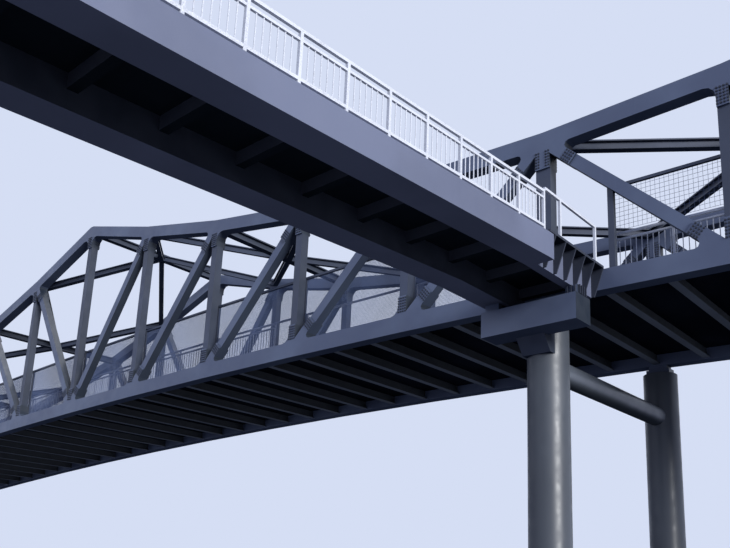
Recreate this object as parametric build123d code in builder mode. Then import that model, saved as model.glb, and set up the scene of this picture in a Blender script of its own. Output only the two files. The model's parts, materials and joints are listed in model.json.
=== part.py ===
"""Steel pedestrian overpass at half of its real size, all lengths in millimetres.

A through-truss footbridge of two spans stands on three frames of round columns.
A ramp of two box girders joins its walkway from the side, at the middle frame.
X runs along the bridge, Y across it, away from the ramp, and Z up. The origin is
the foot of the middle column on the ramp's side, on the ground.
"""

from build123d import *
import math
import os

os.makedirs("parts", exist_ok=True)

# Bridge layout
panel = 2400.0
main_panels = 10
side_panels = 6
end_overhang = 160.0
truss_spacing = 3550.0
soffit_height = 4520.0
camber_radius = 250000.0
crown_x = -6080.0

# Truss depth, from the lower edge of the bottom chord to the upper edge of the top one
depth_at_pier = 2420.0
depth_at_midspan = 4460.0

# Truss members
chord_width = 200.0
top_chord_depth = 240.0
bottom_chord_depth = 265.0
post_width = 150.0
pier_post_width = 220.0
diagonal_width = 160.0
member_thickness = 150.0
post_stub = 300.0
diagonal_stub = 300.0
post_fillet = 150.0
end_fillet = 40.0
chord_fillet = 60.0
peak_fillet = 300.0
corner_facets = 3

# Top bracing
strut_depth = 160.0
strut_width = 150.0
strut_web = 24.0
strut_flange = 24.0
brace_depth = 140.0
brace_width = 110.0
brace_web = 20.0
brace_flange = 20.0
brace_gap = 1.5

# Walkway
beams_per_panel = 3
beam_depth = 150.0
beam_width = 110.0
beam_plate = 14.0
beam_gap = 6.0
deck_level = 195.0
deck_plate_thickness = 12.0
deck_joint = 2.0
paving_thickness = 20.0
paving_gap = 140.0

# Railings
rail_height = 650.0
rail_bar = 30.0
bottom_bar_height = 145.0
rail_post = 30.0
rail_joint = 6.0
rail_inset = 110.0
screen_height = 1280.0
screen_bar = 40.0
screen_mesh = 10.0
door_post_x = 930.0
door_post_width = 80.0
door_post_depth = 60.0
threshold_gap = 4.0
threshold_plate = 10.0

# Piers
column_diameter = 535.0
neck_width = 380.0
neck_height = 90.0
bearing_height = 60.0
sole_reach = 150.0
sole_width = 180.0
tie_diameter = 300.0
tie_drop = 860.0

# Ramp
ramp_left_x = -610.0
ramp_right_x = 890.0
landing_length = 1380.0
ramp_length = 8800.0
ramp_slope = 0.059
girder_width = 330.0
girder_depth = 300.0
ramp_rail_height = 510.0
ramp_bottom_bar_height = 60.0
ramp_post_spacing = 520.0
ramp_rail_inset = 60.0
ramp_beam_spacing = 760.0
ramp_beam_depth = 130.0
ramp_beam_width = 90.0
landing_side_x = 680.0
landing_edge_x = 850.0
landing_side_end_y = -1380.0
landing_lift = 80.0
landing_edge = 30.0
landing_rail_height = 470.0
landing_post_y = -1120.0
bracket_foot = 40.0
bracket_plate = 16.0
bracket_spacing = 230.0

# Ramp supports
cap_left_x = -560.0
cap_right_x = 775.0
cap_near_y = -690.0
cap_depth_y = 350.0
cap_height = 330.0
cap_gap = 115.0
haunch_width = 400.0
haunch_height = 200.0
haunch_setback = 250.0
haunch_cover = 20.0
pad_size = 200.0
landing_pad_width = 160.0
end_support_inset = 500.0

# Derived levels and places
near_y = 0.0
far_y = truss_spacing
inner_near_y = near_y + chord_width / 2
inner_far_y = far_y - chord_width / 2
nodes = list(range(-main_panels, side_panels + 1))
pier_nodes = {"left": nodes[0], "middle": 0, "right": nodes[-1]}
half_main = main_panels * panel / 2


def soffit(x):
    """Level of the bottom chord's lower edge on the camber curve."""
    return soffit_height + (crown_x**2 - (x - crown_x) ** 2) / (2 * camber_radius)


def truss_depth(i):
    """Depth of the truss at node i, which grows with the distance from the nearest pier."""
    away = min(abs(i), i + main_panels if i <= 0 else side_panels - i)
    growth = (depth_at_midspan - depth_at_pier) / half_main**2
    return depth_at_pier + growth * (away * panel) ** 2


def node_x(i):
    """Place of node i along the bridge, counted from the middle frame."""
    return i * panel


def post_size(i):
    """Width of the post at node i, which is wider over a pier."""
    return pier_post_width if i in pier_nodes.values() else post_width


def bottom_point(i):
    """Working point of node i on the bottom chord."""
    return Vector(node_x(i), soffit(node_x(i)) + bottom_chord_depth / 2)


def top_point(i):
    """Working point of node i on the top chord."""
    return Vector(node_x(i), soffit(node_x(i)) + truss_depth(i) - top_chord_depth / 2)


def falls_right(i):
    """True where the diagonal of panel i..i+1 falls from the top of node i."""
    if i < 0:
        return i < -main_panels / 2
    return i < side_panels / 2


def diagonal_ends(i):
    """Top and bottom working points of the diagonal of panel i..i+1."""
    if falls_right(i):
        return top_point(i), bottom_point(i + 1)
    return top_point(i + 1), bottom_point(i)


def meet(p, u, q, v):
    """Crossing of the line through p along u with the line through q along v."""
    w = q - p
    t = (w.X * v.Y - w.Y * v.X) / (u.X * v.Y - u.Y * v.X)
    return p + u * t


def round_corner(corner, u, v, radius):
    """Points that round a corner off, from its side along u to its side along v, in short cuts."""
    half_angle = math.acos(u.dot(v)) / 2
    centre = corner + (u + v).normalized() * (radius / math.sin(half_angle))
    start = corner + u * (radius / math.tan(half_angle)) - centre
    finish = corner + v * (radius / math.tan(half_angle)) - centre
    turn = math.degrees(math.atan2(start.cross(finish).Z, start.dot(finish)))
    return [centre + start.rotate(Axis.Z, turn * k / corner_facets) for k in range(corner_facets + 1)]


def chord_outline(points, depth, side, peaks):
    """Corner points of one chord with its gusset stubs.

    side is +1 where the stubs rise from a bottom chord and -1 where they hang
    from a top chord.
    """
    half = depth / 2
    up = Vector(0, side)

    def along(a, b):
        return (b - a).normalized()

    def diagonal_from(i, hand):
        """Unit vector of the diagonal that leaves node i on one hand, or None."""
        first = i if hand > 0 else i - 1
        if first < nodes[0] or first + 1 > nodes[-1]:
            return None
        top, bottom = diagonal_ends(first)
        here, there = (bottom, top) if side > 0 else (top, bottom)
        if here.X != points[i].X:
            return None
        return along(here, there)

    def corner(i, hand):
        """Inner corner points on one hand of node i, from the chord to the post."""
        other = i + hand
        if other in points:
            run = along(points[i], points[other])
        else:
            run = Vector(hand, 0)
        edge = points[i] + up * half
        post = points[i] + Vector(hand * post_size(i) / 2, 0)
        cant = diagonal_from(i, hand)
        post_corner = post + up * (half + post_stub)
        if cant is None:
            radius = post_fillet if other in points else end_fillet
            return [*round_corner(meet(edge, run, post, up), run, up, radius), post_corner]
        across = Vector(-cant.Y, cant.X)
        if across.X * hand < 0:
            across = across * -1
        across = across * (diagonal_width / 2)
        tip = points[i] + cant * ((half + diagonal_stub) / abs(cant.Y))
        return [
            *round_corner(meet(edge, run, points[i] + across, cant), run, cant, chord_fillet),
            tip + across,
            tip - across,
            meet(points[i] - across, cant, post, up),
            post_corner,
        ]

    order = sorted(points)
    first, last = order[0], order[-1]
    outline = [points[first] + Vector(-end_overhang, side * half)]
    for i in order:
        outline += corner(i, -1)
        outline += reversed(corner(i, 1))
    outline.append(points[last] + Vector(end_overhang, side * half))
    outline.append(points[last] + Vector(end_overhang, -side * half))
    for i in reversed(order[1:-1]):
        knee = points[i] - up * half
        if i in peaks:
            right, left = (along(points[i], points[j]) for j in (i + 1, i - 1))
            outline += round_corner(knee, right, left, peaks[i])
        else:
            outline.append(knee)
    outline.append(points[first] + Vector(-end_overhang, -side * half))
    return outline


def chord(points, depth, side, y, peaks):
    """A chord with its gussets, as one plate-built box centred on plane y."""
    with BuildPart() as made:
        with BuildSketch(Plane.XZ.offset(-(y - chord_width / 2))):
            with BuildLine():
                Polyline(*chord_outline(points, depth, side, peaks), close=True)
            make_face()
        extrude(amount=-chord_width)
    return made.part


def write(name, part):
    """Labels a finished piece and writes its file."""
    part.label = name
    export_step(part, f"parts/{name}.step")


top_points = {i: top_point(i) for i in nodes}
bottom_points = {i: bottom_point(i) for i in nodes}
peaks = {-main_panels // 2: peak_fillet, side_panels // 2: peak_fillet}

for side_name, plane_y in (("near", near_y), ("far", far_y)):
    write(f"{side_name}_bottom_chord", chord(bottom_points, bottom_chord_depth, 1, plane_y, {}))
    write(f"{side_name}_top_chord", chord(top_points, top_chord_depth, -1, plane_y, peaks))


def bar_between(a, b, width):
    """Adds the side view of a straight bar from a to b to the sketch in hand."""
    across = (b - a).normalized()
    across = Vector(-across.Y, across.X) * (width / 2)
    Polygon(a + across, b + across, b - across, a - across, align=None)


for side_name, plane_y in (("near", near_y), ("far", far_y)):
    member_face = Plane.XZ.offset(-(plane_y - member_thickness / 2))
    with BuildPart() as posts:
        with BuildSketch(member_face):
            for i in nodes:
                low = bottom_point(i) + Vector(0, bottom_chord_depth / 2 + post_stub)
                high = top_point(i) - Vector(0, top_chord_depth / 2 + post_stub)
                bar_between(low, high, post_size(i))
        extrude(amount=-member_thickness)
    write(f"{side_name}_posts", posts.part)

    with BuildPart() as diagonals:
        with BuildSketch(member_face):
            for i in nodes[:-1]:
                top, bottom = diagonal_ends(i)
                axis = (bottom - top).normalized()
                start = top + axis * ((top_chord_depth / 2 + diagonal_stub) / abs(axis.Y))
                end = bottom - axis * ((bottom_chord_depth / 2 + diagonal_stub) / abs(axis.Y))
                bar_between(start, end, diagonal_width)
        extrude(amount=-member_thickness)
    write(f"{side_name}_diagonals", diagonals.part)

# Top bracing: struts across at every other node, and crossed arms between them
strut_nodes = [i for i in nodes if (i + main_panels) % 2 == 1]
end_nodes = [nodes[0], nodes[-1]]

with BuildPart() as top_struts:
    with BuildSketch(Plane.XZ.offset(-inner_near_y)):
        for i in strut_nodes + end_nodes:
            centre = top_point(i)
            with Locations((centre.X, centre.Y)):
                Rectangle(strut_web, strut_depth)
            rise = (strut_depth - strut_flange) / 2
            with Locations((centre.X, centre.Y - rise), (centre.X, centre.Y + rise)):
                Rectangle(strut_width, strut_flange)
    extrude(amount=-(inner_far_y - inner_near_y))
write("top_struts", top_struts.part)


def brace_arm(i, j, foot_y):
    """An arm of I-section from the chord at node j to the middle of the strut at node i."""
    hub = Vector(node_x(i), (near_y + far_y) / 2)
    foot = Vector(node_x(j), foot_y)
    hand = math.copysign(1, hub.X - foot.X)
    side = math.copysign(1, hub.Y - foot.Y)
    slope = (top_point(i).Y - top_point(j).Y) / (node_x(i) - node_x(j))
    stretch = math.hypot(1, slope)
    run = Vector((hub.X - foot.X) * stretch, hub.Y - foot.Y)
    axis = run.normalized()
    past = axis * brace_width
    foot_gap = strut_width / 2 if j in end_nodes else brace_gap
    span = abs(run.X) - (strut_width / 2 + foot_gap) * stretch
    depth = abs(run.Y) - brace_gap
    level = top_point(j).Y - brace_depth / 2
    web_depth = brace_depth - 2 * brace_flange
    for width, height in ((brace_width, brace_flange), (brace_web, web_depth), (brace_width, brace_flange)):
        layer = Plane(origin=(foot.X, foot.Y, level), x_dir=(1, 0, slope), z_dir=(-slope, 0, 1))
        across = Vector(-axis.Y, axis.X) * (width / 2)
        with BuildSketch(layer) as plan_view:
            Polygon(across - past, run + across + past, run - across + past, -across - past, align=None)
            with Locations((hand * (foot_gap * stretch + span / 2), side * depth / 2)):
                Rectangle(span, depth, mode=Mode.INTERSECT)
        extrude(plan_view.sketch, amount=height, dir=(0, 0, 1))
        level += height


with BuildPart() as top_braces:
    for i in strut_nodes:
        for j in (i - 1, i + 1):
            brace_arm(i, j, inner_near_y)
            brace_arm(i, j, inner_far_y)
write("top_braces", top_braces.part)

# Walkway
beam_step = panel / beams_per_panel
beam_count = (main_panels + side_panels) * beams_per_panel + 1


def straight_level(x):
    """Level of the bottom chord's lower edge, straight between nodes and flat past the ends."""
    i = min(max(math.floor(x / panel), nodes[0]), nodes[-1] - 1)
    t = min(max((x - node_x(i)) / panel, 0), 1)
    return (1 - t) * soffit(node_x(i)) + t * soffit(node_x(i + 1))


with BuildPart() as floor_beams:
    with BuildSketch(Plane.XZ.offset(-inner_near_y)):
        for k in range(beam_count):
            x = node_x(nodes[0]) + k * beam_step
            low = straight_level(x) + deck_level - deck_plate_thickness - beam_gap - beam_depth
            with Locations((x, low + beam_depth / 2)):
                Rectangle(beam_plate, beam_depth)
            with Locations((x, low + beam_plate / 2)):
                Rectangle(beam_width, beam_plate)
    extrude(amount=-(inner_far_y - inner_near_y))
write("floor_beams", floor_beams.part)


def strip_points(x_from, x_to, lift):
    """Points along the camber line between two places, at a lift over the soffit."""
    inside = [node_x(i) for i in nodes if x_from + 1 < node_x(i) < x_to - 1]
    return [Vector(x, straight_level(x) + lift) for x in [x_from, *inside, x_to]]


def strip(x_from, x_to, low, high):
    """Adds a band that follows the camber between two lifts to the sketch in hand."""
    upper = strip_points(x_from, x_to, high)
    Polygon(*strip_points(x_from, x_to, low), *reversed(upper), align=None)


def upright(x, width, height):
    """Adds a post that stands on the deck at place x to the sketch in hand."""
    foot = deck_level + max(straight_level(x + shift) for shift in (-width / 2, 0, width / 2))
    top = straight_level(x) + deck_level + height
    with Locations((x, (foot + top) / 2)):
        Rectangle(width, top - foot)


def bays(x_from, x_to, gap):
    """Start and end of each bay between two places, split at the nodes with a joint gap."""
    cuts = [x_from] + [node_x(i) for i in nodes if x_from + panel / 4 < node_x(i) < x_to - panel / 4]
    return [(a + gap / 2, b - gap / 2) for a, b in zip(cuts, cuts[1:] + [x_to])]


def post_places(spans, width):
    """Middle of the post at the start of each bay, and of the one that ends the last bay."""
    return [start + width / 2 for start, end in spans] + [spans[-1][1] - width / 2]


deck_left = node_x(nodes[0]) - beam_width / 2
deck_right = node_x(nodes[-1]) + beam_width / 2

with BuildPart() as deck_plate:
    with BuildSketch(Plane.XZ.offset(-inner_near_y)):
        for start, end in bays(deck_left, deck_right, deck_joint):
            strip(start, end, deck_level - deck_plate_thickness, deck_level)
    extrude(amount=-(inner_far_y - inner_near_y))
write("deck_plate", deck_plate.part)

with BuildPart() as paving:
    with BuildSketch(Plane.XZ.offset(-(inner_near_y + paving_gap))):
        strip(deck_left, deck_right, deck_level, deck_level + paving_thickness)
    extrude(amount=-(inner_far_y - inner_near_y - 2 * paving_gap))
write("paving", paving.part)


def railing(x_from, x_to, y):
    """Welded bays of handrail, bottom rail and posts along the bridge."""
    top = deck_level + rail_height
    foot = deck_level + bottom_bar_height
    spans = bays(x_from, x_to, rail_joint)
    with BuildPart() as made:
        with BuildSketch(Plane.XZ.offset(-(y - rail_bar / 2))):
            for start, end in spans:
                strip(start, end, top - rail_bar, top)
                strip(start, end, foot, foot + rail_bar)
            for x in post_places(spans, rail_post):
                upright(x, rail_post, rail_height - rail_bar / 2)
        extrude(amount=-rail_bar)
    return made.part


def screen(x_from, x_to, y):
    """Fall-guard screen in bays: a framed sheet of fine mesh on posts beside the railing."""
    top = deck_level + screen_height
    spans = bays(x_from, x_to, rail_joint)
    with BuildPart() as made:
        with BuildSketch(Plane.XZ.offset(-(y - screen_bar / 2))):
            for start, end in spans:
                strip(start, end, top - screen_bar, top)
            for x in post_places(spans, screen_bar):
                upright(x, screen_bar, screen_height - screen_bar / 2)
        extrude(amount=-screen_bar)
        with BuildSketch(Plane.XZ.offset(-(y - screen_mesh / 2))):
            for start, end in spans:
                strip(start, end, deck_level + bottom_bar_height, top - screen_bar / 2)
        extrude(amount=-screen_mesh)
    return made.part


near_rail_y = inner_near_y + rail_inset
far_rail_y = inner_far_y - rail_inset
near_screen_y = inner_near_y + screen_bar
far_screen_y = inner_far_y - screen_bar
rail_left = node_x(nodes[0])
rail_right = node_x(nodes[-1])
opening_left_x = ramp_left_x - rail_post
opening_right_x = door_post_x - door_post_width

write("near_railing_main", railing(rail_left, opening_left_x, near_rail_y))
write("near_railing_side", railing(opening_right_x, rail_right, near_rail_y))
write("far_railing", railing(rail_left, rail_right, far_rail_y))
write("near_screen_main", screen(rail_left, opening_left_x, near_screen_y))
write("near_screen_side", screen(opening_right_x, rail_right, near_screen_y))
write("far_screen", screen(rail_left, rail_right, far_screen_y))

side_opening_left = post_size(0) / 2 + post_fillet

# The door post stands on the chord and meets the diagonal over the side opening
door_top, door_bottom = diagonal_ends(0)
door_axis = (door_bottom - door_top).normalized()
with BuildPart() as door_post:
    left = door_post_x - door_post_width / 2
    right = door_post_x + door_post_width / 2
    drop = Vector(-door_axis.Y, door_axis.X) * (diagonal_width / 2)
    if drop.Y > 0:
        drop = drop * -1
    under = door_top + drop
    with BuildSketch(Plane.XZ.offset(-(near_y - door_post_depth / 2))):
        with BuildLine():
            Polyline(
                (left, straight_level(left) + bottom_chord_depth),
                (right, straight_level(right) + bottom_chord_depth),
                meet(Vector(right, 0), Vector(0, 1), under, door_axis),
                meet(Vector(left, 0), Vector(0, 1), under, door_axis),
                close=True,
            )
        make_face()
    extrude(amount=-door_post_depth)
write("door_post", door_post.part)

threshold_low = soffit(0) + deck_level + paving_thickness
threshold_high = straight_level(side_opening_left) + bottom_chord_depth
with BuildPart() as threshold:
    with BuildSketch(Plane.YZ.offset(side_opening_left + threshold_gap)):
        with BuildLine():
            Polyline(
                (inner_near_y + paving_gap, threshold_low),
                (inner_near_y, threshold_low),
                (inner_near_y, threshold_high),
                (near_y - chord_width / 2, threshold_high),
                (near_y - chord_width / 2, threshold_low),
                (near_y - chord_width / 2 - paving_gap, threshold_low),
                (near_y - chord_width / 2, threshold_high + threshold_plate),
                (inner_near_y, threshold_high + threshold_plate),
                close=True,
            )
        make_face()
    extrude(amount=landing_side_x - side_opening_left - 2 * threshold_gap)
write("threshold", threshold.part)

# Piers
def column_top(x):
    """Level of the column heads under the chords at place x."""
    return soffit(x) - neck_height - bearing_height


for pier_name, i in pier_nodes.items():
    x = node_x(i)
    top = column_top(x)
    with BuildPart() as columns:
        with BuildSketch(Plane.XY):
            with Locations((x, near_y), (x, far_y)):
                Circle(column_diameter / 2)
        extrude(amount=top)
    write(f"{pier_name}_columns", columns.part)
    sole_low = top + neck_height
    with BuildPart() as bearings:
        with BuildSketch(Plane.XY.offset(top)):
            with Locations((x, near_y), (x, far_y)):
                Rectangle(neck_width, chord_width)
        extrude(amount=neck_height)
        sole = [(x + shift, straight_level(x + shift)) for shift in (sole_reach, 0, -sole_reach)]
        for y in (near_y, far_y):
            with BuildSketch(Plane.XZ.offset(-(y - sole_width / 2))) as sole_view:
                Polygon((x - sole_reach, sole_low), (x + sole_reach, sole_low), *sole, align=None)
            extrude(sole_view.sketch, amount=-sole_width)
    write(f"{pier_name}_bearings", bearings.part)
    tie_level = soffit(x) - tie_drop
    with BuildPart() as tie:
        with BuildSketch(Plane.XZ.offset(-near_y)):
            with Locations((x, tie_level)):
                Circle(tie_diameter / 2)
        extrude(amount=-truss_spacing)
        for y in (near_y, far_y):
            with BuildSketch(Plane.XY):
                with Locations((x, y)):
                    Circle(column_diameter / 2)
            extrude(amount=top, mode=Mode.SUBTRACT)
    write(f"{pier_name}_tie_tube", tie.part)

# Ramp
landing_far_y = near_y - chord_width / 2
landing_near_y = landing_far_y - landing_length
ramp_far_y = landing_near_y
ramp_end_y = ramp_far_y - ramp_length
ramp_deck = soffit(0) + deck_level
girder_top = ramp_deck


def ramp_level(y):
    """Fall of the ramp below the landing at place y."""
    return -max(ramp_far_y - y, 0) * ramp_slope


def ramp_member(x_from, x_to, low, high, y_from=landing_far_y, y_to=ramp_end_y):
    """A band along the ramp between two levels, with its knee at the landing."""
    stations = [y_from]
    if y_from > ramp_far_y > y_to:
        stations.append(ramp_far_y)
    stations.append(y_to)
    lower = [(y, low + ramp_level(y)) for y in stations]
    upper = [(y, high + ramp_level(y)) for y in reversed(stations)]
    with BuildSketch(Plane.YZ.offset(x_from)) as profile:
        with BuildLine():
            Polyline(*lower, *upper, close=True)
        make_face()
    extrude(profile.sketch, amount=x_to - x_from)


with BuildPart() as ramp_left_girder:
    ramp_member(ramp_left_x, ramp_left_x + girder_width, girder_top - girder_depth, girder_top)
write("ramp_left_girder", ramp_left_girder.part)

inner_left_x = ramp_left_x + girder_width
inner_right_x = ramp_right_x - girder_width

with BuildPart() as ramp_right_girder:
    girder_low = girder_top - girder_depth
    ramp_member(inner_right_x, landing_side_x, girder_low, girder_top, y_to=landing_side_end_y)
    ramp_member(inner_right_x, ramp_right_x, girder_low, girder_top, y_from=landing_side_end_y)
write("ramp_right_girder", ramp_right_girder.part)

ramp_plate_low = ramp_deck - deck_plate_thickness

with BuildPart() as ramp_deck_plate:
    ramp_member(inner_left_x, inner_right_x, ramp_plate_low, ramp_deck)
write("ramp_deck_plate", ramp_deck_plate.part)

with BuildPart() as ramp_cross_beams:
    count = int((landing_length + ramp_length) // ramp_beam_spacing)
    for k in range(count + 1):
        y = landing_far_y - ramp_beam_width / 2 - k * ramp_beam_spacing
        low = ramp_plate_low - ramp_beam_depth
        ramp_member(inner_left_x, inner_right_x, low, ramp_plate_low, y, y - ramp_beam_width)
write("ramp_cross_beams", ramp_cross_beams.part)

with BuildPart() as ramp_paving:
    paving_left = ramp_left_x + paving_gap
    paving_top = girder_top + paving_thickness
    landing_end = landing_side_x - threshold_gap
    ramp_member(paving_left, landing_end, girder_top, paving_top, y_to=landing_side_end_y)
    ramp_member(paving_left, ramp_right_x - paving_gap, girder_top, paving_top, y_from=landing_side_end_y)
write("ramp_paving", ramp_paving.part)


def along_ramp(y_from, y_to, low, high):
    """Adds a band that falls with the ramp between two levels to the sketch in hand."""
    lower = [(y, low + ramp_level(y)) for y in (y_from, y_to)]
    upper = [(y, high + ramp_level(y)) for y in (y_to, y_from)]
    Polygon(*lower, *upper, align=None)


def ramp_railing(x):
    """Rails and posts along one edge of the ramp, as one welded panel."""
    top = girder_top + ramp_rail_height
    foot = girder_top + ramp_bottom_bar_height
    run = ramp_length - rail_post
    count = round(run / ramp_post_spacing)
    with BuildPart() as made:
        with BuildSketch(Plane.YZ.offset(x - rail_bar / 2)):
            along_ramp(ramp_far_y, ramp_end_y, top - rail_bar, top)
            along_ramp(ramp_far_y, ramp_end_y, foot, foot + rail_bar)
            for k in range(count + 1):
                y = ramp_far_y - k * run / count
                along_ramp(y, y - rail_post, girder_top, top - rail_bar / 2)
        extrude(amount=rail_bar)
    return made.part


left_rail_x = ramp_left_x + ramp_rail_inset
right_rail_x = ramp_right_x - ramp_rail_inset
write("ramp_left_railing", ramp_railing(left_rail_x))
write("ramp_right_railing", ramp_railing(right_rail_x))

landing_rail_end = landing_far_y - paving_gap - rail_bar
landing_rail_low = girder_top + landing_lift
landing_rail_top = landing_rail_low + landing_rail_height
with BuildPart() as landing_railings:
    rail_low = landing_rail_top - rail_bar
    for x in (left_rail_x, right_rail_x):
        with BuildSketch(Plane.YZ.offset(x - rail_bar / 2)) as handrail:
            along_ramp(landing_rail_end, ramp_far_y + rail_joint, rail_low, landing_rail_top)
            for y in (landing_rail_end, landing_post_y):
                along_ramp(y, y - rail_post, landing_rail_low, rail_low + rail_bar / 2)
        extrude(handrail.sketch, amount=rail_bar)
write("landing_railings", landing_railings.part)

# Ramp supports
cap_top = girder_top - girder_depth - cap_gap
cap_far_y = cap_near_y + cap_depth_y

with BuildPart() as ramp_cap:
    with BuildSketch(Plane.XY.offset(cap_top - cap_height)):
        with Locations(((cap_left_x + cap_right_x) / 2, (cap_near_y + cap_far_y) / 2)):
            Rectangle(cap_right_x - cap_left_x, cap_depth_y)
    extrude(amount=cap_height)
write("ramp_cap", ramp_cap.part)

with BuildPart() as cap_haunch:
    with BuildSketch(Plane.YZ.offset(-haunch_width / 2)):
        with BuildLine():
            Polyline(
                (cap_near_y + haunch_setback, cap_top - cap_height),
                (near_y, cap_top - cap_height),
                (near_y, cap_top - cap_height - haunch_height),
                (near_y - column_diameter / 2 - haunch_cover, cap_top - cap_height - haunch_height),
                close=True,
            )
        make_face()
    extrude(amount=haunch_width)
    with BuildSketch(Plane.YZ.offset(-haunch_width / 2)):
        with BuildLine():
            Polyline(
                (cap_far_y, cap_top - cap_height),
                (near_y, cap_top - cap_height),
                (near_y, cap_top),
                (cap_far_y, cap_top),
                close=True,
            )
        make_face()
    extrude(amount=haunch_width)
    with BuildSketch(Plane.XY):
        Circle(column_diameter / 2)
    extrude(amount=column_top(0), mode=Mode.SUBTRACT)
write("cap_haunch", cap_haunch.part)

pad_xs = (ramp_left_x + girder_width / 2, ramp_right_x - girder_width / 2)
end_support_y = ramp_end_y + end_support_inset
end_soffit = girder_top - girder_depth + ramp_level(end_support_y)
end_cap_top = end_soffit - cap_gap

with BuildPart() as ramp_bearings:
    with BuildSketch(Plane.XY.offset(cap_top)):
        with Locations((pad_xs[0], (cap_near_y + cap_far_y) / 2)):
            Rectangle(pad_size, pad_size)
        with Locations((landing_side_x, (cap_near_y + cap_far_y) / 2)):
            Rectangle(landing_pad_width, pad_size)
    extrude(amount=cap_gap)
write("ramp_bearings", ramp_bearings.part)

with BuildPart() as end_bearings:
    for x in pad_xs:
        with BuildSketch(Plane.YZ.offset(x - pad_size / 2)):
            with BuildLine():
                Polyline(
                    (end_support_y - pad_size / 2, end_cap_top),
                    (end_support_y + pad_size / 2, end_cap_top),
                    (end_support_y + pad_size / 2, end_soffit + pad_size / 2 * ramp_slope),
                    (end_support_y - pad_size / 2, end_soffit - pad_size / 2 * ramp_slope),
                    close=True,
                )
            make_face()
        extrude(amount=pad_size)
write("end_bearings", end_bearings.part)

ramp_centre_x = (ramp_left_x + ramp_right_x) / 2
with BuildPart() as end_cap:
    with BuildSketch(Plane.XY.offset(end_cap_top - cap_height)):
        with Locations((ramp_centre_x, end_support_y)):
            Rectangle(ramp_right_x - ramp_left_x, cap_depth_y)
    extrude(amount=cap_height)
write("end_cap", end_cap.part)

with BuildPart() as end_column:
    with BuildSketch(Plane.XY):
        with Locations((ramp_centre_x, end_support_y)):
            Circle(column_diameter / 2)
    extrude(amount=end_cap_top - cap_height)
write("end_column", end_column.part)

# The landing's raised edge and its stiffeners: on the ramp's side a plate on slanting ribs
# beside the girder, and on the other side a kerb on top of it
edge_low = girder_top + landing_lift - landing_edge
edge_high = girder_top + landing_lift
with BuildPart() as landing_brackets:
    count = int((landing_far_y - landing_side_end_y - bracket_plate) // bracket_spacing)
    for k in range(count + 1):
        y = landing_far_y - bracket_plate - k * bracket_spacing
        with BuildSketch(Plane.XZ.offset(-y)) as rib:
            with BuildLine():
                Polyline(
                    (landing_side_x, girder_top - girder_depth),
                    (landing_side_x + bracket_foot, girder_top - girder_depth),
                    (landing_edge_x, edge_low),
                    (landing_side_x, edge_low),
                    close=True,
                )
            make_face()
        extrude(rib.sketch, amount=-bracket_plate)
    ramp_member(landing_side_x, landing_edge_x, edge_low, edge_high, y_to=landing_side_end_y)
    kerb_x = left_rail_x - rail_bar
    ramp_member(kerb_x, kerb_x + 2 * rail_bar, girder_top, edge_high, y_to=landing_side_end_y)
write("landing_brackets", landing_brackets.part)
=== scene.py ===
"""Coatings, balusters, wire screens and bolts of a half-size steel overpass, in a plain studio."""

import json
import math
from functools import partial

import bmesh
import bpy
from bpy.props import FloatProperty, FloatVectorProperty, IntProperty, PointerProperty
from mathutils import Matrix, Vector


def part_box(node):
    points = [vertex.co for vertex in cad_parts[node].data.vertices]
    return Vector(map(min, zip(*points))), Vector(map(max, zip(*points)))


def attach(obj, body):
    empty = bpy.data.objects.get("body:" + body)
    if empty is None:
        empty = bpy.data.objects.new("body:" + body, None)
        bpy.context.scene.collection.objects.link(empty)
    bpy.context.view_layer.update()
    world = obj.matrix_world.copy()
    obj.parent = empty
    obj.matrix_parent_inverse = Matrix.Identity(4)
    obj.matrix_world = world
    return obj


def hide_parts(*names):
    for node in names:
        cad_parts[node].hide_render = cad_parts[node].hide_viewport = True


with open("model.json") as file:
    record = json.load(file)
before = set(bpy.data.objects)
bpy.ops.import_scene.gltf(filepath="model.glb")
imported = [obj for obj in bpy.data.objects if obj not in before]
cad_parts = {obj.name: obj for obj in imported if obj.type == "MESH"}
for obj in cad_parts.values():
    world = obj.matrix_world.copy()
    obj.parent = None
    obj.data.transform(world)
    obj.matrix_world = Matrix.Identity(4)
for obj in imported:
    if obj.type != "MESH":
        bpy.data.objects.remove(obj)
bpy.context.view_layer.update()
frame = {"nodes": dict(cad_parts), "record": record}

bl_info = {
    "name": "Steel Pedestrian Overpass",
    "version": (1, 0, 0),
    "blender": (4, 5, 0),
    "location": "View3D > Sidebar > Overpass",
    "description": "Dresses a half-size steel truss footbridge with coatings, screens and bolts",
    "category": "Object",
}

# Panels of the long and the short span, and the truss nodes over the piers
MAIN_PANELS = 10
SIDE_PANELS = 6
PIER_NODES = (-MAIN_PANELS, 0, SIDE_PANELS)

# Rows and columns of the bolts in one group
POST_BOLTS = (6, 2)
DIAGONAL_BOLTS = (4, 4)

# The viewer's place and turns, then the picture's size, focal length and centre in pixels
VIEWER_PLACE = (5.023, -8.653, 0.780)
VIEWER_HEADING = math.radians(39.41)
VIEWER_RISE = math.radians(103.75)
VIEWER_LEAN = math.radians(1.54)
PICTURE_WIDTH = 730
PICTURE_HEIGHT = 548
FOCAL_PIXELS = 812.0
CENTRE_X = 420.0
CENTRE_Y = 400.0
FARTHEST_SEEN = 5000.0

# The floor's half width in metres, and the share of light that it and the backdrop throw
FLOOR_REACH = 2000.0
FLOOR_THROW = 0.3
BACKDROP_THROW = 0.5

# Each far lamp: where it shines from, its strength and its spread in degrees
LAMPS = {
    "key": ((0.92, -0.26, 0.22), 4.0, 20.0),
    "top": ((0.0, 0.2, 1.0), 1.3, 60.0),
    "back": ((-0.3, 0.9, 0.5), 0.6, 50.0),
}

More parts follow.
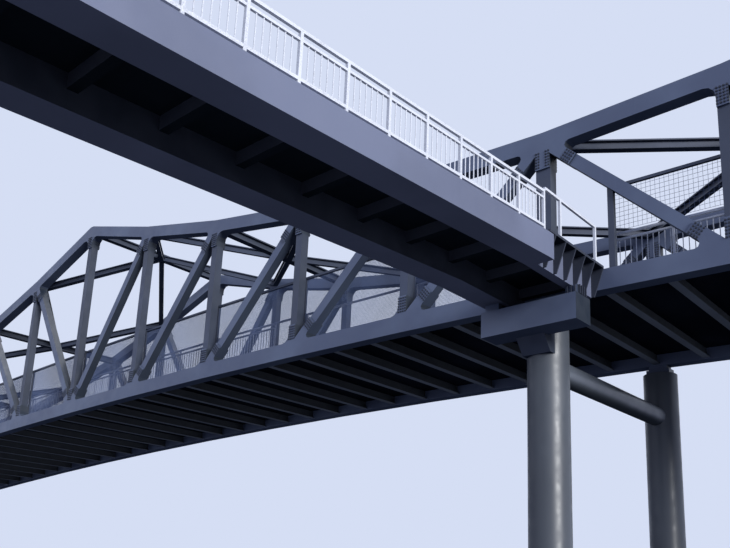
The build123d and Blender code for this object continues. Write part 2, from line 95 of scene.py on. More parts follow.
# Each topcoat: its colour and the share of it, how much paler it weathers, the painted shade
# below, the roughness, and the painted shade on the sides that face along the bridge
COATS = {
    # chords, diagonals and caps, which weather to a colour of their own, with painted shade below
    # and on the sides that face along the bridge
    "slate_topcoat": ("slate", 1.0, None, 0.45, 0.34, 0.85),
    # posts, bracing and frames, darker than the chords' broad faces as painted shade
    "grimy_topcoat": ("slate", 0.45, 1.6, 0.45, 0.4, 0.5),
    # the ramp's right girder, with no painted shade on the sides that face along the bridge
    "clean_topcoat": ("ramp", 1.0, 1.25, 0.15, 0.36, 0.0),
    # the ramp's left girder, with painted shade on the side that faces under the ramp
    "inner_topcoat": ("ramp", 1.0, 1.25, 0.15, 0.4, 0.8),
    # bolt heads, made dark, and ribs and brackets, dark as painted shade
    "bolt_topcoat": ("slate", 0.25, 1.0, 0.6, 0.5, 0.0),
    # round columns, rolled out smoother, which draws a bright line down each; their coating is
    # darker as painted shade under the deck
    "smooth_topcoat": ("column", 1.0, 1.4, 0.45, 0.36, 0.0),
    # tie tubes, the columns' coating lightened as painted light
    "tube_topcoat": ("column", 1.7, 1.3, 0.6, 0.3, 0.0),
    # floor beams, dull, lightened above the plates between them as painted light, with painted
    # shade on their sides that face along the bridge
    "dull_topcoat": ("column", 2.0, 1.3, 0.0, 0.55, 0.9),
    # undersides of the deck plates, almost black as painted shade
    "sooty_topcoat": ("slate", 0.06, 2.0, 0.0, 0.6, 0.5),
    # plates and beams between the ramp's girders, dark but not black as painted shade
    "dusky_topcoat": ("slate", 0.2, 1.5, 0.75, 0.6, 0.0),
}

# The topcoat of the steelwork whose names end so; the rest goes by its slot in the record
NODE_COATS = {
    # columns: the coating darkened as painted shade under the deck
    ("columns", "column"): "smooth_topcoat",
    # tie tubes: the coating lightened as painted light
    ("tube",): "tube_topcoat",
    # posts, struts, braces and haunches: the coating darkened as painted shade
    ("posts", "_post", "struts", "braces", "haunch"): "grimy_topcoat",
    # brackets: dark as painted shade
    ("landing_brackets",): "bolt_topcoat",
    # right girder: no painted shade on its sides; left girder: painted shade on its inner side
    ("ramp_right_girder",): "clean_topcoat",
    ("ramp_left_girder",): "inner_topcoat",
    # the ramp's cross beams and plates: dark as painted shade
    ("ramp_cross_beams", "ramp_deck_plate"): "dusky_topcoat",
    # floor beams: lightened as painted light, with painted shade on their sides
    ("floor_beams",): "dull_topcoat",
}

# Settings of nodes that are used over and over
SMOOTH = {"interpolation_type": "SMOOTHSTEP"}
COLOURS = {"data_type": "RGBA"}
LARGER = {"operation": "MAXIMUM"}
TIMES = {"operation": "MULTIPLY"}
TIMES_PLUS = {"operation": "MULTIPLY_ADD"}


def length(name, default, description):
    """A size in metres that the sidebar shows."""
    return FloatProperty(
        name=name, description=description, default=default, min=0.0, unit="LENGTH", precision=4
    )


def place(name, default, description):
    """A place along the bridge in metres that the sidebar shows."""
    return FloatProperty(name=name, description=description, default=default, unit="LENGTH")


def srgb(text):
    """The linear red, green and blue of an sRGB hex value such as #808080."""
    parts = [int(text[k:k + 2], 16) / 255 for k in (1, 3, 5)]
    return tuple(c / 12.92 if c <= 0.04045 else ((c + 0.055) / 1.055) ** 2.4 for c in parts)


def colour(name, hex_value, description):
    """A colour that the sidebar shows."""
    return FloatVectorProperty(
        name=name, description=description, default=srgb(hex_value),
        size=3, min=0.0, max=1.0, subtype="COLOR",
    )


class OverpassSizes(bpy.types.PropertyGroup):
    """Sizes of the bridge and of the small parts put on it, in metres."""

    panel: length("Truss panel", 2.4, "Length of one truss panel along the bridge")
    soffit_height: length("Soffit height", 4.52, "Bottom chord's underside over the middle frame")
    camber_radius: length("Camber radius", 250.0, "Radius of the walkway's rise along the bridge")
    crown_x: place("Crown", -6.08, "Place of the walkway's highest point")
    depth_at_pier: length("Truss depth at a pier", 2.42, "Height of the truss over a column")
    depth_at_midspan: length("Truss depth at midspan", 4.46, "Height in the long span's middle")
    bottom_chord_depth: length("Bottom chord", 0.265, "Height of the bottom chord")
    top_chord_depth: length("Top chord", 0.24, "Height of the top chord")
    gusset_reach: length("Gusset reach", 0.3, "Gussets past the chord's edge, square to it")
    deck_level: length("Deck level", 0.195, "Deck plate's top over the soffit")

    rail_height: length("Handrail height", 0.65, "Handrail over the bridge's deck")
    bottom_bar_height: length("Bottom rail height", 0.145, "Bottom rail over the bridge's deck")
    ramp_rail_height: length("Ramp handrail height", 0.51, "Handrail over the ramp's girders")
    ramp_bottom_bar_height: length("Ramp bottom rail", 0.06, "Bottom rail over the ramp's girders")
    ramp_post_spacing: length("Ramp post spacing", 0.52, "Posts' spacing on the ramp's railings")
    rail_bar: length("Rail bar", 0.03, "Square bar of the rails and posts")
    rail_joint: length("Rail joint", 0.006, "Gap between two bays of railing")
    second_rail_drop: length("Second rail drop", 0.08, "Second rail below the handrail")
    second_rail_bar: length("Second rail", 0.024, "Square bar of the second rail")
    middle_post_bar: length("Middle post", 0.0285, "Square bar of the post in each bay's middle")
    joining_bar: length("Joining bar", 0.027, "Bar from the ramp's handrail to the landing's")
    baluster_pitch: length("Baluster pitch", 0.074, "Spacing, 148 mm on the real bridge")
    baluster_width: length("Baluster width", 0.011, "Diameter, 22 mm on the real bridge")
    infill_end: place("Infill end", -5.6, "Where the long span's balusters stop by the ramp")

    screen_height: length("Screen height", 1.28, "Fall-guard screen over the deck")
    screen_bar: length("Screen bar", 0.04, "Square tube of the screen's frame")
    wire_pitch: length("Wire pitch", 0.02, "Long span's mesh opening, coarser than the real one")
    wire_width: length("Wire width", 0.0038, "Wire of the long span's screens")
    wide_wire_pitch: length("Wide wire pitch", 0.06, "Short span's mesh opening")
    wide_wire_width: length("Wide wire width", 0.003, "Wire of the short span's screens")

    bolt_head: length("Bolt head", 0.02, "Across its flats, 40 mm on the real bridge")
    bolt_head_height: length("Bolt head height", 0.008, "Bolt head over its washer")
    washer: length("Washer", 0.027, "Width of the washer under each bolt head")
    washer_thickness: length("Washer thickness", 0.004, "Thickness of the washer")
    bolt_pitch: length("Bolt pitch", 0.042, "Bolts' spacing in a group")
    bolt_edge: length("Bolt edge distance", 0.035, "From a gusset's edge to the first bolts")
    pier_bolt_strip: length("Pier bolt strip", 0.075, "Bolt strip from a pier post's middle")
    rib_plate: length("Bearing rib", 0.012, "Thickness of the ribs on the ramp's bearings")
    ribs: IntProperty(name="Ribs", description="Ribs on a bearing's long face", default=4, min=1)


class OverpassFinish(bpy.types.PropertyGroup):
    """Colours of the coatings and of the studio."""

    slate: colour("Slate coating", "#525c75", "Satin coating of the trusses")
    slate_pale: colour("Weathered slate", "#647088", "The coating where sun and rain paled it")
    ramp: colour("Ramp coating", "#5f657a", "Lighter coating of the ramp's girders")
    # the columns' coating is darker than the trusses' as painted shade under the deck, and greyer
    # in its own right
    column: colour("Column coating", "#42474f", "Smoother and greyer coating of the columns")
    # the dark colour that paints shade on undersides and on the sides that face along the bridge
    soot: colour("Soot", "#0d1417", "Film of soot and dust on undersides")
    galvanised: colour("Galvanised steel", "#d2d6e0", "Rails and balusters")
    wire: colour("Mesh wire", "#46567a", "Coated wire of the screens")
    paving: colour("Paving", "#55585c", "Gritty anti-slip coating of the walkway")
    floor: colour("Floor", "#d8dae2", "Pale floor of the studio")
    sky: colour("Backdrop", "#d5def4", "Backdrop that the camera and reflections see")
    skylight: colour("Sky light", "#a9bcf4", "Cool light that the backdrop throws")


def sizes():
    """The sizes that the sidebar holds."""
    return bpy.context.scene.overpass_sizes


def finish():
    """The colours that the sidebar holds."""
    return bpy.context.scene.overpass_finish


# The bridge's lines, from the same sizes as its solids


def node_soffit(i):
    """Underside of the bottom chord at truss node i."""
    s = sizes()
    from_crown = i * s.panel - s.crown_x
    return s.soffit_height + (s.crown_x**2 - from_crown**2) / (2 * s.camber_radius)


def node_depth(i):
    """Height of the truss at node i, from the soffit to the top chord's upper edge."""
    s = sizes()
    away = min(abs(i), i + MAIN_PANELS if i <= 0 else SIDE_PANELS - i) * s.panel
    half_span = MAIN_PANELS * s.panel / 2
    return s.depth_at_pier + (s.depth_at_midspan - s.depth_at_pier) * (away / half_span) ** 2


def soffit_line(x):
    """Underside of the bottom chord at place x, straight between the nodes."""
    panel = sizes().panel
    i = min(max(math.floor(x / panel), -MAIN_PANELS), SIDE_PANELS - 1)
    share = min(max(x / panel - i, 0.0), 1.0)
    return (1 - share) * node_soffit(i) + share * node_soffit(i + 1)


def above_soffit(x, y, height):
    """The point at that height over the bottom chord's underside."""
    return Vector((x, y, soffit_line(x) + height))


def bays(node):
    """Start and end of each bay of a railing or screen, split at the truss nodes."""
    s = sizes()
    lower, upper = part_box(node)
    x_from, x_to = lower.x - s.rail_joint / 2, upper.x + s.rail_joint / 2
    places = [i * s.panel for i in range(-MAIN_PANELS, SIDE_PANELS + 1)]
    inside = [x for x in places if x_from + s.panel / 4 < x < x_to - s.panel / 4]
    cuts = [x_from, *inside, x_to]
    return [(a + s.rail_joint / 2, b - s.rail_joint / 2) for a, b in zip(cuts, cuts[1:])]


def falls_right(i):
    """True where the diagonal of panel i..i+1 falls from the top of node i."""
    return i < -MAIN_PANELS / 2 if i < 0 else i < SIDE_PANELS / 2


# Mesh tools


def add_bar(bm, start, end, width, sides=4):
    """A closed bar of that many sides between two points; width is across its flats."""
    start = Vector(start)
    run = Vector(end) - start
    turn = run.to_track_quat("Z", "Y").to_matrix().to_4x4()
    flats_level = Matrix.Rotation(math.pi / sides, 4, "Z")
    radius = width / 2 / math.cos(math.pi / sides)
    bmesh.ops.create_cone(
        bm, cap_ends=True, segments=sides, radius1=radius, radius2=radius, depth=run.length,
        matrix=Matrix.Translation(start + run / 2) @ turn @ flats_level,
    )


def add_plate(bm, centre, size):
    """A flat plate with that centre and size."""
    matrix = Matrix.Translation(centre) @ Matrix.Diagonal((*size, 1.0))
    bmesh.ops.create_cube(bm, size=1.0, matrix=matrix)


def pour(bm, part):
    """Adds a small finished bmesh to a large one, because operators slow down on a large one."""
    scrap = bpy.data.meshes.new("scrap")
    part.to_mesh(scrap)
    part.free()
    bm.from_mesh(scrap)
    bpy.data.meshes.remove(scrap)


def add_piece(name, bm, material):
    """Makes the bmesh an object in the bridge's frame, riding on its one body."""
    bmesh.ops.recalc_face_normals(bm, faces=bm.faces)
    mesh = bpy.data.meshes.new(name)
    bm.to_mesh(mesh)
    bm.free()
    piece = bpy.data.objects.new(name, mesh)
    bpy.context.scene.collection.objects.link(piece)
    mesh.materials.append(material)
    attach(piece, "root")
    return piece


# Materials


def add_node(tree, kind, settings=None, **inputs):
    """Adds a node with its settings. Each input, by its name or by _ and its number, is given a
    value, a colour, a socket to link from, or a node whose first output in use is linked."""
    node = tree.nodes.new("ShaderNode" + kind)
    for key, value in (settings or {}).items():
        setattr(node, key, value)
    for key, value in inputs.items():
        socket = node.inputs[int(key[1:]) if key[0] == "_" else key.replace("_", " ")]
        if isinstance(value, bpy.types.Node):
            value = next(output for output in value.outputs if output.enabled)
        if isinstance(value, bpy.types.NodeSocket):
            tree.links.new(value, socket)
        else:
            socket.default_value = (*value, 1.0) if socket.type == "RGBA" else value
    return node


def empty_tree(owner):
    """Clears the nodes of a material or a world, and gives what adds nodes to it."""
    owner.use_nodes = True
    owner.node_tree.nodes.clear()
    return partial(add_node, owner.node_tree)


def new_material(name):
    """An empty material, what adds nodes to it, and its object coordinates."""
    material = bpy.data.materials.new(name)
    add = empty_tree(material)
    return material, add, add("TexCoord").outputs["Object"]


def made_once(make):
    """Makes a material when it is first asked for, and finds it by its name after that."""
    def find_or_make(name, *values):
        return bpy.data.materials.get(name) or make(name, *values)
    return find_or_make


def seen_ray(add):
    """1 for rays that the camera sees the studio by, straight, mirrored or through glass."""
    path = add("LightPath").outputs
    mirrored = add("Math", LARGER, _0=path["Is Glossy Ray"], _1=path["Is Transmission Ray"])
    return add("Math", LARGER, _0=path["Is Camera Ray"], _1=mirrored)


@made_once
def coated_steel(name, base, pale, soot, roughness, side_shade):
    """Polyurethane topcoat sprayed on shop-primed plate: a satin slate with paler rain-washed
    streaks, a dusty upper side, and painted shade below and on the sides along the bridge, so the
    eye reads large painted steel."""
    material, add, where = new_material(name)
    normal = add("SeparateXYZ", Vector=add("NewGeometry").outputs["Normal"]).outputs
    upwards = normal["Z"]
    below = add(
        "MapRange", SMOOTH, Value=upwards, From_Min=-0.9, From_Max=-0.3, To_Min=1.0, To_Max=0.0
    )
    # patches of fading about 3 m across on the real bridge, 1.5 m here
    patches = add("TexNoise", Vector=where, Scale=0.7, Detail=4.0)
    patches = add("MapRange", SMOOTH, Value=patches, From_Min=0.35, From_Max=0.7)
    # runs of rain about 120 mm apart on the real plate, 60 mm here, long and upright
    drawn_out = add("Mapping", Vector=where, Scale=(1.0, 1.0, 0.06))
    streaks = add("TexNoise", Vector=drawn_out, Scale=16.0, Detail=2.0)
    streaks = add("MapRange", SMOOTH, Value=streaks, From_Min=0.5, From_Max=0.8, To_Max=0.3)
    weather = add("Math", LARGER, _0=patches, _1=streaks)
    weather = add("MapRange", SMOOTH, Value=weather, To_Max=0.7)
    tone = add("Mix", COLOURS, _0=weather, _6=base, _7=pale)
    # pale dust lies on what faces up
    dust = add("MapRange", SMOOTH, Value=upwards, From_Min=0.55, From_Max=0.95, To_Max=0.4)
    tone = add("Mix", COLOURS, _0=dust, _6=tone, _7=pale)
    # painted shade darkens the undersides, and more painted shade darkens the sides that face
    # along the bridge
    shade_below = add("Math", TIMES, _0=below, _1=soot)
    along = add("Math", {"operation": "ABSOLUTE"}, _0=normal["X"])
    shade_along = add("MapRange", SMOOTH, Value=along, From_Min=0.35, From_Max=0.85, To_Max=side_shade)
    shade_mask = add("Math", LARGER, _0=shade_below, _1=shade_along)
    tone = add("Mix", COLOURS, _0=shade_mask, _6=tone, _7=finish().soot)
    # a satin sheen that varies a little, and none on the undersides, which takes their reflections
    # away as painted shade; they are rougher too
    rough = add("TexNoise", Vector=where, Scale=5.0, Detail=3.0)
    rough = add(
        "MapRange", SMOOTH, Value=rough, From_Min=0.3, From_Max=0.7,
        To_Min=roughness, To_Max=roughness + 0.14,
    )
    rough = add("Math", TIMES_PLUS, _0=below, _1=0.5, _2=rough)
    sheen = add("Math", TIMES_PLUS, _0=below, _1=-0.5, _2=0.5)
    # the sprayed coat's orange peel is 3 mm on the real plate, drawn at 12 mm to show
    peel = add("TexNoise", Vector=where, Scale=80.0, Detail=2.0)
    bump = add("Bump", Strength=0.1, Distance=0.002, Height=peel)
    shader = add(
        "BsdfPrincipled", Base_Color=tone, Roughness=rough, Specular_IOR_Level=sheen,
        IOR=1.5, Normal=bump,
    )
    add("OutputMaterial", Surface=shader)
    return material


@made_once
def galvanised_steel(name):
    """Galvanised bar and tube under a silver-grey paint: pale, with faint spangle and dull
    patches, so the eye reads thin bright bars against the dark coats."""
    material, add, where = new_material(name)
    base = finish().galvanised
    dull = [c * 0.72 for c in base]
    # spangles are about 12 mm on real zinc, 6 mm here
    spangle = add("TexVoronoi", Vector=where, Scale=160.0)
    grain = add("RGBToBW", Color=spangle.outputs["Color"])
    patches = add("TexNoise", Vector=where, Scale=2.5, Detail=3.0)
    wear = add("Math", TIMES, _0=grain, _1=patches)
    wear = add("MapRange", SMOOTH, Value=wear, From_Min=0.1, From_Max=0.5)
    tone = add("Mix", COLOURS, _0=wear, _6=base, _7=dull)
    rough = add("MapRange", SMOOTH, Value=grain, To_Min=0.38, To_Max=0.55)
    shader = add("BsdfPrincipled", Base_Color=tone, Roughness=rough, IOR=1.5)
    add("OutputMaterial", Surface=shader)
    return material


@made_once
def coated_wire(name):
    """Woven wire dipped in a thin polymer coat: slate blue and a little dusty, which the eye
    reads as a haze from afar."""
    material, add, where = new_material(name)
    base = finish().wire
    dusty = [c * 0.75 for c in base]
    # dusty lengths of about 600 mm on the real mesh, 300 mm here
    dust = add("TexNoise", Vector=where, Scale=3.0, Detail=3.0)
    dust = add("MapRange", SMOOTH, Value=dust, From_Min=0.35, From_Max=0.7)
    tone = add("Mix", COLOURS, _0=dust, _6=base, _7=dusty)
    shader = add("BsdfPrincipled", Base_Color=tone, Roughness=0.5, IOR=1.5)
    add("OutputMaterial", Surface=shader)
    return material


@made_once
def gritty_coating(name):
    """Epoxy with crushed stone rolled on the walkway: matt grey and speckled, which looks rough
    underfoot."""
    material, add, where = new_material(name)
    base = finish().paving
    worn = [min(c * 1.5, 1.0) for c in base]
    # the worn way is about 2.5 m wide on the real deck, 1.2 m here
    wear = add("TexNoise", Vector=where, Scale=0.8, Detail=4.0)
    wear = add("MapRange", SMOOTH, Value=wear, From_Min=0.35, From_Max=0.7)
    tone = add("Mix", COLOURS, _0=wear, _6=base, _7=worn)
    # grit is 2 mm on the real deck, drawn at 8 mm to show
    grit = add("TexNoise", Vector=where, Scale=120.0, Detail=2.0)
    specks = add("MapRange", SMOOTH, Value=grit, From_Min=0.55, From_Max=0.7, To_Max=0.5)
    tone = add("Mix", COLOURS, _0=specks, _6=tone, _7=worn)
    bump = add("Bump", Strength=0.5, Distance=0.003, Height=grit)
    shader = add("BsdfPrincipled", Base_Color=tone, Roughness=0.9, Normal=bump)
    add("OutputMaterial", Surface=shader)
    return material


def topcoat(name):
    """One of the topcoats of the table."""
    hue, share, paler, soot, roughness, side_shade = COATS[name]
    base = [c * share for c in getattr(finish(), hue)]
    pale = [c * paler for c in base] if paler else finish().slate_pale
    return coated_steel(name, base, pale, soot, roughness, side_shade)


# Operators


class OVERPASS_OT_finishes(bpy.types.Operator):
    """Coat the bridge's own steelwork and walkway"""

    bl_idname = "overpass.finishes"
    bl_label = "Coat the steelwork"

    def execute(self, context):
        slot_coats = {
            "slate_paint": topcoat("slate_topcoat"),
            # the deck's undersides darkened as painted shade
            "underside_paint": topcoat("sooty_topcoat"),
            "galvanised_rail": galvanised_steel("galvanised_rail_steel"),
            # the screens' frames take the coating darkened as painted shade
            "screen_mesh": topcoat("grimy_topcoat"),
            "walkway_paving": gritty_coating("gritty_walkway_coat"),
        }
        slots = {row["node"]: row["material_slot"] for row in frame["record"]["subparts"]}
        for name, node in frame["nodes"].items():
            coat = slot_coats[slots[name]]
            for endings, own_coat in NODE_COATS.items():
                if name.endswith(endings):
                    coat = topcoat(own_coat)
            node.data.materials.clear()
            node.data.materials.append(coat)
        return {"FINISHED"}


class OVERPASS_OT_bridge_infill(bpy.types.Operator):
    """Fill the bridge's railings with a second rail, middle posts and balusters"""

    bl_idname = "overpass.bridge_infill"
    bl_label = "Bridge railing infill"

    def execute(self, context):
        s = sizes()
        steel = galvanised_steel("galvanised_rail_steel")
        for rail in ("near_railing_main", "near_railing_side", "far_railing"):
            lower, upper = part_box(rail)
            y = (lower.y + upper.y) / 2
            bm = bmesh.new()
            for start, end in bays(rail):
                post = (start + end) / 2
                if rail == "near_railing_main" and end > s.infill_end:
                    end = post = s.infill_end
                if start < end:
                    self.fill_bay(bm, start, end, post, y)
            add_piece(rail + "_infill", bm, steel)
        return {"FINISHED"}

    def fill_bay(self, bm, start, end, post, y):
        """The second rail of a bay, its post and the balusters on both sides of the post."""
        s = sizes()
        foot = s.deck_level + s.bottom_bar_height + s.rail_bar / 2
        head = s.deck_level + s.rail_height - s.rail_bar / 2
        second = head - s.second_rail_drop
        bay = bmesh.new()
        add_bar(
            bay, above_soffit(start, y, second), above_soffit(end, y, second), s.second_rail_bar
        )
        add_bar(
            bay, above_soffit(post, y, s.deck_level), above_soffit(post, y, head),
            s.middle_post_bar,
        )
        count = round((end - start) / s.baluster_pitch)
        for k in range(1, count):
            x = start + k * (end - start) / count
            if abs(x - post) > s.rail_bar:
                low, high = above_soffit(x, y, foot), above_soffit(x, y, second)
                add_bar(bay, low, high, s.baluster_width, sides=6)
        pour(bm, bay)


class OVERPASS_OT_ramp_infill(bpy.types.Operator):
    """Fill the ramp's railings with a second rail and balusters, and join them to the landing's"""

    bl_idname = "overpass.ramp_infill"
    bl_label = "Ramp railing infill"

    def execute(self, context):
        s = sizes()
        steel = galvanised_steel("galvanised_rail_steel")
        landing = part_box("landing_railings")[1].z - s.rail_bar / 2
        for rail in ("ramp_left_railing", "ramp_right_railing"):
            lower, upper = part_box(rail)
            x = (lower.x + upper.x) / 2
            run = upper.y - lower.y
            slope = (upper.z - lower.z - s.ramp_rail_height) / run
            head = upper.z - s.rail_bar / 2
            second = head - s.second_rail_drop
            foot = upper.z - s.ramp_rail_height + s.ramp_bottom_bar_height + s.rail_bar / 2
            bm = bmesh.new()
            inside = run - s.rail_bar / 2
            rail_end = (x, upper.y - inside, second - inside * slope)
            add_bar(bm, (x, upper.y, second), rail_end, s.second_rail_bar)
            handrail_end = (x, upper.y - s.rail_bar / 2, head)
            landing_end = (x, upper.y + s.rail_bar, landing)
            add_bar(bm, handrail_end, landing_end, s.joining_bar, sides=8)
            post_count = round((run - s.rail_bar) / s.ramp_post_spacing)
            step = (run - s.rail_bar) / post_count
            clear = step - s.rail_bar
            count = round(clear / s.baluster_pitch)
            for post in range(post_count):
                for k in range(1, count):
                    along = post * step + s.rail_bar + k * clear / count
                    y, drop = upper.y - along, along * slope
                    low, high = (x, y, foot - drop), (x, y, second - drop)
                    add_bar(bm, low, high, s.baluster_width, sides=8)
            add_piece(rail + "_infill", bm, steel)
        return {"FINISHED"}


class OVERPASS_OT_screens(bpy.types.Operator):
    """Weave the fall-guard screens and frame them"""

    bl_idname = "overpass.screens"
    bl_label = "Wire screens"

    def execute(self, context):
        s = sizes()
        low = s.deck_level + s.bottom_bar_height
        high = s.deck_level + s.screen_height - s.screen_bar / 2
        fine = (s.wire_pitch, s.wire_width, low, high)
        wide = (s.wide_wire_pitch, s.wide_wire_width, s.deck_level + s.rail_height, high)
        kinds = {
            "near_screen_main": (fine, fine),
            "near_screen_side": (wide, wide),
            "far_screen": (fine, wide),
        }
        for node, (long_span_kind, short_span_kind) in kinds.items():
            lower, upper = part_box(node)
            y = (lower.y + upper.y) / 2
            bars, wires = bmesh.new(), bmesh.new()
            uprights = [upper.x - s.screen_bar / 2]
            for start, end in bays(node):
                uprights.append(start + s.screen_bar / 2)
                for height, width in ((high, s.screen_bar), (low, s.screen_bar / 2)):
                    ends = [above_soffit(x, y, height) for x in (start, end)]
                    add_bar(bars, *ends, width)
                kind = long_span_kind if end < s.panel / 2 else short_span_kind
                self.weave(wires, start, end, y, kind)
            for x in uprights:
                ends = [above_soffit(x, y, height) for height in (s.deck_level, high)]
                add_bar(bars, *ends, s.screen_bar)
            # the frames take the coating darkened as painted shade
            framed = add_piece(node + "_frame", bars, topcoat("grimy_topcoat"))
            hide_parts(node)
            add_piece(node + "_wires", wires, coated_wire("coated_mesh_wire"))
        return {"FINISHED"}

    def weave(self, wires, start, end, y, kind):
        """One bay of mesh, its level wires pressed against the back of the upright ones."""
        pitch, width, low, high = kind
        bay = bmesh.new()
        columns = round((end - start) / pitch)
        for k in range(1, columns):
            x = start + k * (end - start) / columns
            add_bar(bay, above_soffit(x, y, low), above_soffit(x, y, high), width)
        rows = round((high - low) / pitch)
        pressed = 0.8
        for k in range(rows):
            height = low + k * (high - low) / rows
            ends = [above_soffit(x, y + width * pressed, height) for x in (start, end)]
            add_bar(bay, *ends, width)
        pour(wires, bay)


class OVERPASS_OT_bolts(bpy.types.Operator):
    """Bolt the posts and diagonals to the chords' gussets"""

    bl_idname = "overpass.bolts"
    bl_label = "Gusset bolts"

    def execute(self, context):
        for side in ("near", "far"):
            lower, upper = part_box(side + "_bottom_chord")
            for face_name, face_y, out in (("front", lower.y, -1), ("back", upper.y, 1)):
                bm = bmesh.new()
                for i in range(-MAIN_PANELS, SIDE_PANELS + 1):
                    self.bolt_post(bm, i, face_y, out)
                for i in range(-MAIN_PANELS, SIDE_PANELS):
                    self.bolt_diagonal(bm, i, face_y, out)
                name = f"{side}_bolts_{face_name}"
                add_piece(name, bm, topcoat("bolt_topcoat"))
        return {"FINISHED"}

    def low_point(self, i):
        """Middle of the bottom chord at truss node i."""
        s = sizes()
        return Vector((i * s.panel, node_soffit(i) + s.bottom_chord_depth / 2))

    def high_point(self, i):
        """Middle of the top chord at truss node i."""
        s = sizes()
        return Vector((i * s.panel, node_soffit(i) + node_depth(i) - s.top_chord_depth / 2))

    def bolt_post(self, bm, i, face_y, out):
        """Two strips of bolts at each end of the post at node i, set wider over a pier."""
        s = sizes()
        strip = s.pier_bolt_strip if i in PIER_NODES else s.bolt_pitch
        low = self.low_point(i) + Vector((0, s.bottom_chord_depth / 2))
        high = self.high_point(i) - Vector((0, s.top_chord_depth / 2))
        for edge, up in ((low, 1), (high, -1)):
            tip = edge + Vector((0, up * (s.gusset_reach - s.bolt_edge)))
            for shift in (-strip, strip):
                start, along = tip + Vector((shift, 0)), Vector((0, -up))
                self.bolt_group(bm, start, along, POST_BOLTS, face_y, out)

    def bolt_diagonal(self, bm, i, face_y, out):
        """A square of bolts at each end of the diagonal of panel i..i+1."""
        s = sizes()
        if falls_right(i):
            high, low = self.high_point(i), self.low_point(i + 1)
        else:
            high, low = self.high_point(i + 1), self.low_point(i)
        axis = (low - high).normalized()
        ends = ((high, axis, s.top_chord_depth), (low, -axis, s.bottom_chord_depth))
        for start, way, depth in ends:
            reach = (depth / 2 + s.gusset_reach) / abs(axis.y) - s.bolt_edge
            self.bolt_group(bm, start + way * reach, -way, DIAGONAL_BOLTS, face_y, out)

    def bolt_group(self, bm, start, along, grid, face_y, out):
        """Rows and columns of hexagon bolts on washers, from start along the member."""
        s = sizes()
        across = Vector((-along.y, along.x))
        group = bmesh.new()
        rows, columns = grid
        for row in range(rows):
            for column in range(columns):
                shift = (column - (columns - 1) / 2) * s.bolt_pitch
                spot = start + along * (row * s.bolt_pitch) + across * shift
                foot = Vector((spot.x, face_y, spot.y))
                seat = foot + Vector((0, out * s.washer_thickness, 0))
                top = seat + Vector((0, out * s.bolt_head_height, 0))
                add_bar(group, foot, seat, s.washer, sides=8)
                add_bar(group, seat, top, s.bolt_head, sides=6)
        pour(bm, group)


class OVERPASS_OT_bearing_ribs(bpy.types.Operator):
    """Weld upright ribs on the faces of the ramp's bearing blocks"""

    bl_idname = "overpass.bearing_ribs"
    bl_label = "Bearing ribs"

    def execute(self, context):
        s = sizes()
        lower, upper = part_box("ramp_bearings")
        thick, proud, height = s.rib_plate, s.rib_plate * 2, upper.z - lower.z
        middle = (lower.z + upper.z) / 2
        step = (upper.y - lower.y) / s.ribs
        bm = bmesh.new()
        for k in range(s.ribs):
            y = lower.y + (k + 0.5) * step
            add_plate(bm, (upper.x + thick, y, middle), (proud, thick, height))
        for k in range(s.ribs - 1):
            x = upper.x - (k + 0.5) * step
            add_plate(bm, (x, lower.y - thick, middle), (thick, proud, height))
        # the ribs take the dark bolt coating as painted shade
        add_piece("bearing_ribs", bm, topcoat("bolt_topcoat"))
        return {"FINISHED"}


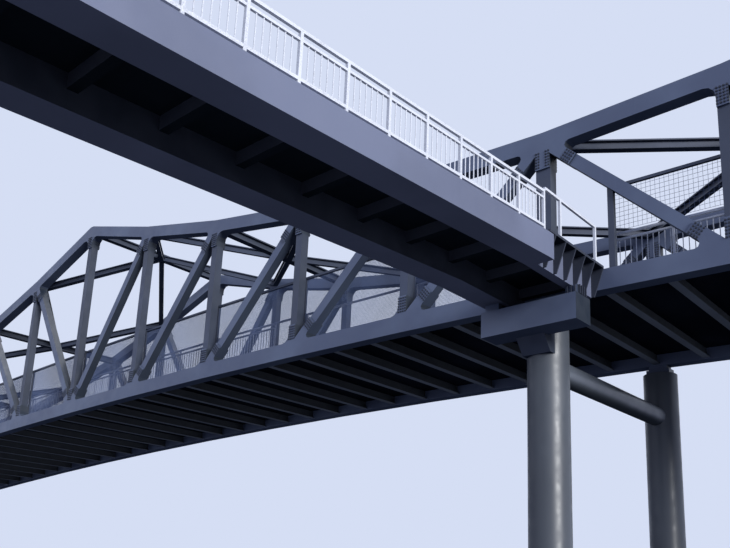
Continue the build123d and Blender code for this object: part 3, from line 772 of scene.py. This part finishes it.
class OVERPASS_OT_stage(bpy.types.Operator):
    """Set the pale floor, the backdrop, the lamps and the camera"""

    bl_idname = "overpass.stage"
    bl_label = "Studio and camera"

    def execute(self, context):
        scene = context.scene
        self.lay_floor(scene)
        self.hang_backdrop(scene)
        for name, (direction, strength, spread) in LAMPS.items():
            lamp = bpy.data.lights.new(name, "SUN")
            lamp.energy = strength
            lamp.angle = math.radians(spread)
            far_lamp = bpy.data.objects.new(name, lamp)
            far_lamp.rotation_euler = Vector(direction).to_track_quat("Z", "Y").to_euler()
            scene.collection.objects.link(far_lamp)
        self.place_camera(scene)
        scene.view_settings.view_transform = "Standard"
        return {"FINISHED"}

    def lay_floor(self, scene):
        """A matt floor that the camera sees pale and that throws little light back up."""
        bm = bmesh.new()
        bmesh.ops.create_grid(bm, x_segments=1, y_segments=1, size=FLOOR_REACH)
        mesh = bpy.data.meshes.new("studio_floor")
        bm.to_mesh(mesh)
        bm.free()
        floor = bpy.data.objects.new("studio_floor", mesh)
        scene.collection.objects.link(floor)
        material = bpy.data.materials.new("studio_floor_paint")
        add = empty_tree(material)
        pale = finish().floor
        dim = [c * FLOOR_THROW for c in pale]
        tone = add("Mix", COLOURS, _0=seen_ray(add), _6=dim, _7=pale)
        add("OutputMaterial", Surface=add("BsdfDiffuse", Color=tone))
        mesh.materials.append(material)

    def hang_backdrop(self, scene):
        """A plain world: pale where it is seen, and softer as the light on the bridge."""
        scene.world = bpy.data.worlds.new("studio_world")
        add = empty_tree(scene.world)
        seen = seen_ray(add)
        strength = add("MapRange", Value=seen, To_Min=BACKDROP_THROW, To_Max=1.0)
        tone = add("Mix", COLOURS, _0=seen, _6=finish().skylight, _7=finish().sky)
        add("OutputWorld", Surface=add("Background", Color=tone, Strength=strength))

    def place_camera(self, scene):
        """The viewer stands on the ground beside the ramp and looks up along the long span."""
        data = bpy.data.cameras.new("viewer")
        data.sensor_width = 36.0
        data.lens = FOCAL_PIXELS / PICTURE_WIDTH * data.sensor_width
        data.shift_x = (PICTURE_WIDTH / 2 - CENTRE_X) / PICTURE_WIDTH
        data.shift_y = (CENTRE_Y - PICTURE_HEIGHT / 2) / PICTURE_WIDTH
        data.clip_end = FARTHEST_SEEN
        viewer = bpy.data.objects.new("viewer", data)
        heading = Matrix.Rotation(VIEWER_HEADING, 4, "Z")
        rise = Matrix.Rotation(VIEWER_RISE, 4, "X")
        lean = Matrix.Rotation(VIEWER_LEAN, 4, "Z")
        viewer.matrix_world = Matrix.Translation(VIEWER_PLACE) @ heading @ rise @ lean
        scene.collection.objects.link(viewer)
        scene.camera = viewer


class OVERPASS_PT_panel(bpy.types.Panel):
    """Sizes, colours and steps of the overpass"""

    bl_idname = "OVERPASS_PT_panel"
    bl_label = "Overpass"
    bl_space_type = "VIEW_3D"
    bl_region_type = "UI"
    bl_category = "Overpass"

    def draw(self, context):
        layout = self.layout
        for step in STEPS:
            layout.operator(step.bl_idname)
        for group in (context.scene.overpass_sizes, context.scene.overpass_finish):
            box = layout.box()
            for name in group.__annotations__:
                box.prop(group, name)


STEPS = (
    OVERPASS_OT_finishes,
    OVERPASS_OT_bridge_infill,
    OVERPASS_OT_ramp_infill,
    OVERPASS_OT_screens,
    OVERPASS_OT_bolts,
    OVERPASS_OT_bearing_ribs,
    OVERPASS_OT_stage,
)
CLASSES = (OverpassSizes, OverpassFinish, *STEPS, OVERPASS_PT_panel)


def register():
    for each in CLASSES:
        bpy.utils.register_class(each)
    bpy.types.Scene.overpass_sizes = PointerProperty(type=OverpassSizes)
    bpy.types.Scene.overpass_finish = PointerProperty(type=OverpassFinish)


def unregister():
    del bpy.types.Scene.overpass_finish
    del bpy.types.Scene.overpass_sizes
    for each in reversed(CLASSES):
        bpy.utils.unregister_class(each)


def main():
    register()
    for step in STEPS:
        group, name = step.bl_idname.split(".")
        getattr(getattr(bpy.ops, group), name)()


if __name__ == "__main__":
    main()
